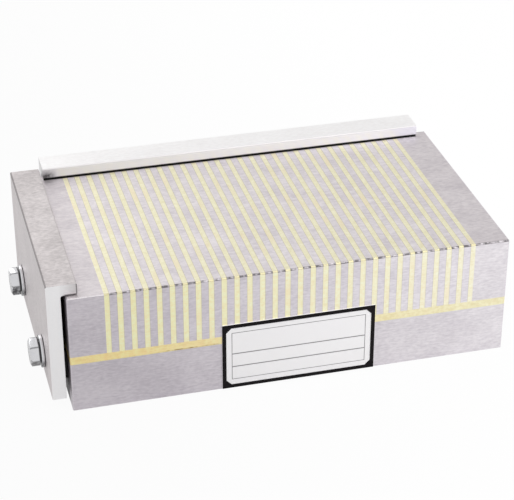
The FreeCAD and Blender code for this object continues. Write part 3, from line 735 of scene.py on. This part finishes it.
def hex_bolt_rings():
    """A bolt along X with its head at negative X and its seat at 0.
    The hexagon's radius is half the width across flats over the cosine of the angle from the
    nearest flat's middle. The crown's cone falls by tan 30 degrees from the top circle outwards."""
    from_flat = np.mod(angle, np.pi / 3) - np.pi / 6
    hexagon = FLATS / 2 / np.cos(from_flat)
    edge_fall = (hexagon - CROWN_RADIUS) * np.tan(np.pi / 6)
    level = np.ones(AROUND)
    profile = [
        (CROWN_RADIUS * CROWN_FLAT * level, -HEAD_HEIGHT * level),
        (CROWN_RADIUS * level, -(HEAD_HEIGHT - CROWN_BREAK) * level),
        (hexagon - EDGE_BREAK / 2, -(HEAD_HEIGHT - edge_fall)),
        (hexagon, -(HEAD_HEIGHT - edge_fall - EDGE_BREAK)),
        (hexagon, -(SEAT_HEIGHT + EDGE_BREAK) * level),
        (hexagon - EDGE_BREAK, -SEAT_HEIGHT * level),
        (SEAT_RADIUS * level, -SEAT_HEIGHT * level),
        (SEAT_RADIUS * level, 0 * level),
        (SHANK_RADIUS * level, 0 * level),
        (SHANK_RADIUS * level, (SHANK_LENGTH - SHANK_CHAMFER) * level),
        ((SHANK_RADIUS - SHANK_CHAMFER) * level, SHANK_LENGTH * level),
    ]
    return np.array([
        np.stack([along, radius * np.cos(angle), radius * np.sin(angle)], axis=-1)
        for radius, along in profile
    ])


def hex_corners(count, first=1, last=4):
    """1 on the hexagon's corners in the rings from the first to the last, and 0 elsewhere."""
    marks = np.zeros((count, AROUND))
    marks[first:last + 1, ::AROUND // 6] = 1
    return marks


def washer_rings():
    """A washer along X, from 0 to its thickness: a rectangle with rounded corners, carried round.
    Each corner is a quarter circle about a centre that lies one rounding in from both sides."""
    quarter = np.linspace(0, np.pi / 2, 4)
    inner, outer = WASHER_HOLE + WASHER_ROUNDING, WASHER_RADIUS - WASHER_ROUNDING
    near, far = WASHER_ROUNDING, WASHER - WASHER_ROUNDING
    turns = [quarter + turn * np.pi / 2 for turn in range(4)]
    centres = ((outer, far), (inner, far), (inner, near), (outer, near))
    radius = np.concatenate(
        [r + WASHER_ROUNDING * np.cos(turn) for (r, x), turn in zip(centres, turns)]
    )
    along = np.concatenate(
        [x + WASHER_ROUNDING * np.sin(turn) for (r, x), turn in zip(centres, turns)]
    )
    return np.stack([
        np.broadcast_to(along[:, None], (len(along), AROUND)),
        radius[:, None] * np.cos(angle), radius[:, None] * np.sin(angle),
    ], axis=-1)


def set_down(rings, seat, heading, roll):
    """Roll a part about X, turn X to a heading in the level plane, and move it to its seat."""
    turn = Matrix.Rotation(heading, 3, "Z") @ Matrix.Rotation(roll, 3, "X")
    return rings @ np.array(turn).T + np.array(seat)


print("bolt rings:", hex_bolt_rings().shape, "washer rings:", washer_rings().shape)

# %% [markdown]
# Each stop is held by two bolts with flat washers, at one level. The heads point left on the side
# stop and back on the back stop, each turned by a different amount, as a spanner leaves them. The
# plating is bright, with dark lines painted at the head's corners, as painted reflection, and
# where the head and the washer seat and where the washer meets the stop, as painted shade, and
# uneven dark patches on what looks down, as painted shade and reflection.

# %% Bolts and washers in place
BOLT_LEVEL = 0.0145
SIDE_BOLT_OFFSET = 0.0275
BACK_BOLT_MARGIN = 0.032
SIDE_ROLLS = (0.20, 0.95)
BACK_ROLLS = (0.5, 0.1)
PLATING_SHADE = shade(40, 38, 40)

bolt_low, bolt_high = (Vector(corner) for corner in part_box("stop_bolts"))
side_seat = bolt_low.x + HEAD_HEIGHT
back_seat = bolt_high.y - HEAD_HEIGHT
back_reach = rail_half_length - BACK_BOLT_MARGIN
places = [
    ((side_seat, side * SIDE_BOLT_OFFSET, BOLT_LEVEL), 0.0, roll)
    for side, roll in zip((-1, 1), SIDE_ROLLS)
]
places += [
    ((rail_middle + side * back_reach, back_seat, BOLT_LEVEL), -math.pi / 2, roll)
    for side, roll in zip((-1, 1), BACK_ROLLS)
]

plating = plain_metal("bright_plating", shade(246, 246, 248), shade(226, 226, 230), 0.16, 0.0015)
# Painted reflection: dark lines on the head's corners.
corner_mark = plating.node("Attribute", {"attribute_name": "corner"}, output="Fac")
# Painted shade: dark rings where the head seats on the washer and the washer on the stop.
seat_mark = plating.most(
    plating.band(plating.axis("X"), side_seat - SEAT_HEIGHT, SEAT_HEIGHT, 0.0002),
    plating.band(plating.axis("Y"), back_seat + SEAT_HEIGHT, SEAT_HEIGHT, 0.0002),
    plating.band(plating.axis("X"), side_seat + WASHER, 0.0002, 0.0001),
    plating.band(plating.axis("Y"), back_seat - WASHER, 0.0002, 0.0001),
)
# Painted shade and reflection: uneven dark patches on the faces that look down.
uneven_patches = plating.rise(plating.noise(0.0014, shift=51), 0.35, 0.6) * 0.5 + 0.5
underside = plating.rise(plating.facing("Z") * -1, 0.0, 0.35) * uneven_patches
plating.cover(
    plating.most(corner_mark * 0.75, seat_mark * 0.9, underside * 0.9), PLATING_SHADE
)

bolt_copies = np.array([set_down(hex_bolt_rings(), *place) for place in places])
washer_copies = np.array([set_down(washer_rings(), *place) for place in places])
bolts = solid_piece(
    "hex_bolts", bolt_copies, False, plating, hex_corners(bolt_copies.shape[1])
)
washers = solid_piece(
    "flat_washers", washer_copies, True, plating,
    np.zeros(washer_copies.shape[1:3]),
)
for piece, node in ((bolts, "stop_bolts"), (washers, "stop_washers")):
    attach(piece, "block")
    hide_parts(node)
print("bolts and washers:", [tuple(round(c, 4) for c in place[0]) for place in places])

# %% [markdown]
# The picture's background is white, so the camera sees the floor as a white of its own, mixed with
# a little of the real shaded surface, which keeps the soft shadow where the block stands. The
# block's upright faces are metal and mirror the floor in front of them. They see half of that white
# and half of the real sheet, and the sheet is grey on the left and pale on the right, so that the
# front lightens from left to right.

# %% Floor
FLOOR_HALF = 3.0
FLOOR_LEVEL = -0.0002
FLOOR_LEFT = (0.42, 0.42, 0.42, 1)
FLOOR_RIGHT = (0.97, 0.97, 0.97, 1)
FLOOR_SPAN = (-0.11, 0.12)
SEEN_WHITE = 0.95
MIRRORED_WHITE = 0.5


def floor_surface(half, height):
    """Four corners of a level square: half its width in metres, at one height."""
    corners = half * np.array([[-1, -1, 0], [1, -1, 0], [1, 1, 0], [-1, 1, 0]], float)
    corners[:, 2] = height
    mesh = bpy.data.meshes.new("floor")
    mesh.from_pydata(corners.tolist(), [], [(0, 1, 2, 3)])
    floor = bpy.data.objects.new("floor", mesh)
    bpy.context.scene.collection.objects.link(floor)
    return floor


floor = floor_surface(FLOOR_HALF, FLOOR_LEVEL)
paper = Finish("floor_paper", Roughness=0.9)
paper.start(paper.mix(paper.rise(paper.axis("X"), *FLOOR_SPAN), FLOOR_LEFT, FLOOR_RIGHT))
glow = paper.node("Emission", inputs={"Color": (1, 1, 1, 1), "Strength": 1.0})
seen = paper.node("LightPath", output="Is Camera Ray")
mirrored = paper.node("LightPath", output="Is Glossy Ray")
white_share = paper.maths("ADD", seen * SEEN_WHITE, mirrored * MIRRORED_WHITE, clamp=True)
surface = Wire(paper, paper.shader.outputs[0])
blend = paper.node("MixShader", inputs={0: white_share, 1: surface, 2: glow})
paper.tree.links.new(blend.socket, paper.tree.nodes["Material Output"].inputs["Surface"])
floor.data.materials.append(paper.material)
print("floor made")

# %% [markdown]
# The work face mirrors the sky above it, so a lamp right overhead would show in it as a white
# patch to a camera that looks straight down. The main lamp stands in front instead, high enough
# that a camera at the side doesn't meet its mirror image, and to the right, which makes that end
# of the front the lighter one. A wide lamp low behind on the left lifts the work face and the
# stops. The world is white to the camera and a soft grey to everything else.

# %% Light
WORLD_LEVEL = 0.75
WORLD_LEVEL_SEEN = 1.0


def soft_lamp(name, place, aim, size, watts):
    """A square area lamp at a place, turned to face a point."""
    lamp = bpy.data.lights.new(name, "AREA")
    lamp.size = size
    lamp.energy = watts
    holder = bpy.data.objects.new(name, lamp)
    bpy.context.scene.collection.objects.link(holder)
    place = Vector(place)
    turn = (Vector(aim) - place).to_track_quat("-Z", "Y")
    holder.matrix_world = Matrix.Translation(place) @ turn.to_matrix().to_4x4()


soft_lamp("front_lamp", (0.30, -0.48, 0.85), (0.12, -0.14, 0), 0.4, 2.9)
soft_lamp("back_lamp", (-0.45, 0.80, 0.50), (-0.05, 0, 0.05), 0.8, 2.3)

world = bpy.data.worlds.new("studio")
world.use_nodes = True
bpy.context.scene.world = world
tree = world.node_tree
background = tree.nodes["Background"]
background.inputs["Color"].default_value = (1, 1, 1, 1)
path = tree.nodes.new("ShaderNodeLightPath")
level = tree.nodes.new("ShaderNodeMath")
level.operation = "MULTIPLY_ADD"
tree.links.new(path.outputs["Is Camera Ray"], level.inputs[0])
level.inputs[1].default_value = WORLD_LEVEL_SEEN - WORLD_LEVEL
level.inputs[2].default_value = WORLD_LEVEL
tree.links.new(level.outputs[0], background.inputs["Strength"])
print("lamps and world ready")
